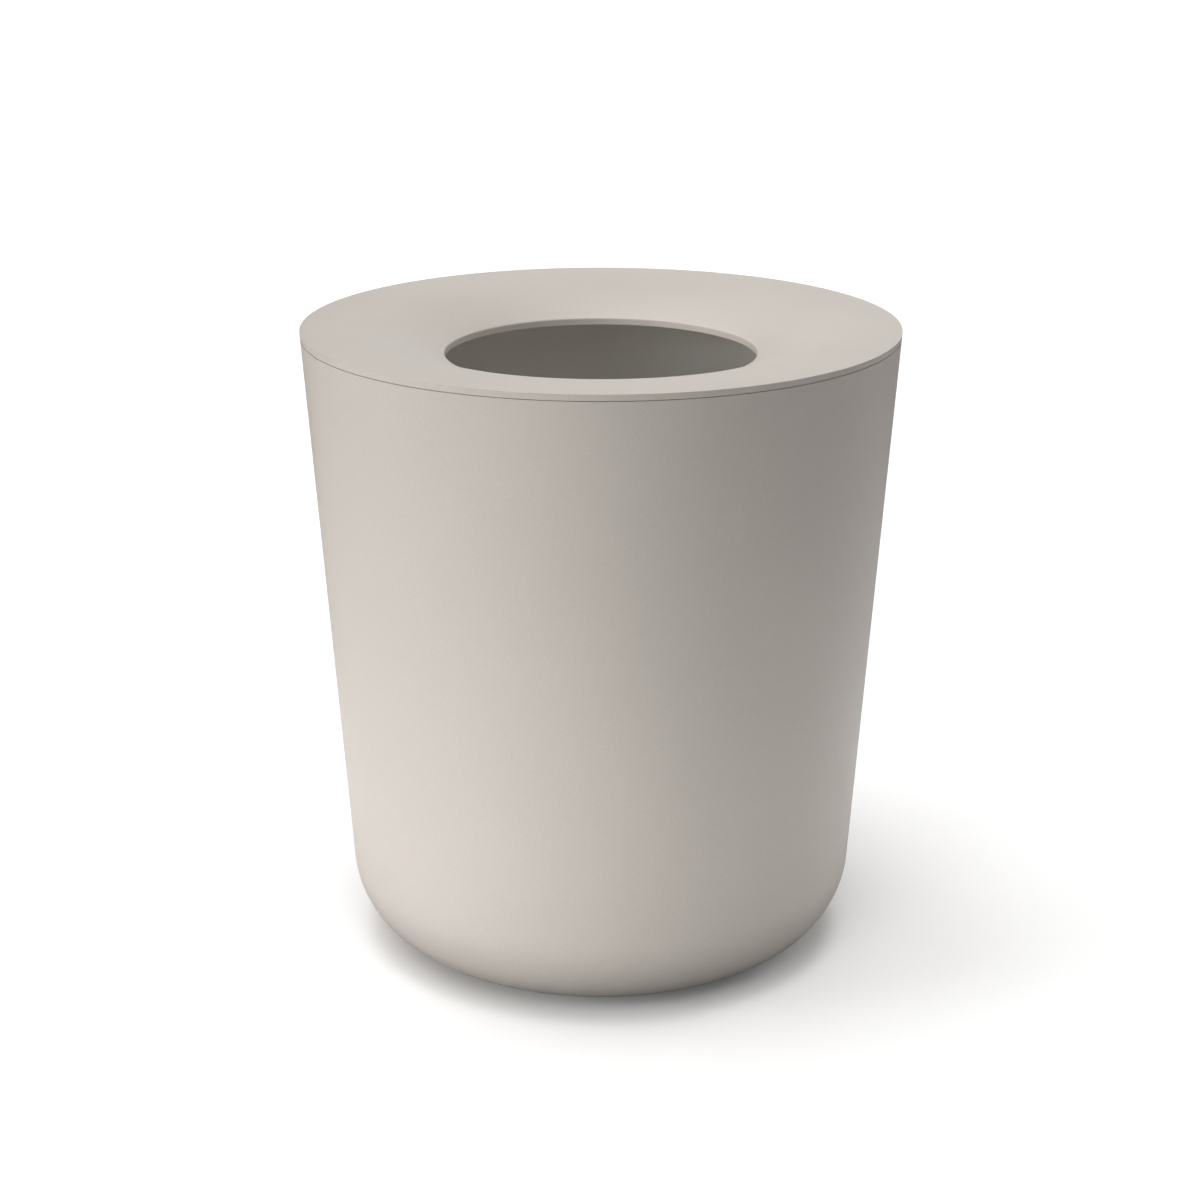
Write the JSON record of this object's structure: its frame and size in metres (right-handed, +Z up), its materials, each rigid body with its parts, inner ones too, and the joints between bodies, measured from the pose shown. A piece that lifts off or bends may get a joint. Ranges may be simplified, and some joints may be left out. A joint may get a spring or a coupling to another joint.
{
  "type": "wastebasket",
  "caption": "Round tapered wastebasket with a rounded base, a dished lift-off lid ring, a removable inner liner and a wire hoop that holds the bag.",
  "frame": {"origin": "on the floor, at the centre of the base, under the four feet", "axes": "+Z up along the body's axis, -Y towards the front, +X to the right seen from the front"},
  "size_m": [0.2999, 0.3, 0.325],
  "materials": {
    "body_plastic": "fine matte moulded texture, warm grey",
    "liner_plastic": "smooth matte moulded plastic, warm grey",
    "foot_rubber": "matte dark elastomer",
    "hoop_wire": "drawn stainless wire"
  },
  "bodies": {
    "shell": {"outer_shell": "body_plastic", "foot_front_left": "foot_rubber", "foot_front_right": "foot_rubber", "foot_back_left": "foot_rubber", "foot_back_right": "foot_rubber"},
    "liner": {"inner_liner": "liner_plastic"},
    "hoop": {"bag_hoop": "hoop_wire"},
    "lid": {"lid_ring": "body_plastic", "lid_pad_front_left": "foot_rubber", "lid_pad_front_right": "foot_rubber", "lid_pad_back_left": "foot_rubber", "lid_pad_back_right": "foot_rubber"}
  },
  "joints": [
    {"name": "liner_lift", "type": "slide", "parent": "shell", "child": "liner", "axis": [0, 0, 1], "range_m": [0, 0.32]},
    {"name": "hoop_lift", "type": "slide", "parent": "liner", "child": "hoop", "axis": [0, 0, 1], "range_m": [0, 0.04]},
    {"name": "lid_lift", "type": "slide", "parent": "hoop", "child": "lid", "axis": [0, 0, 1], "range_m": [0, 0.06]}
  ]
}
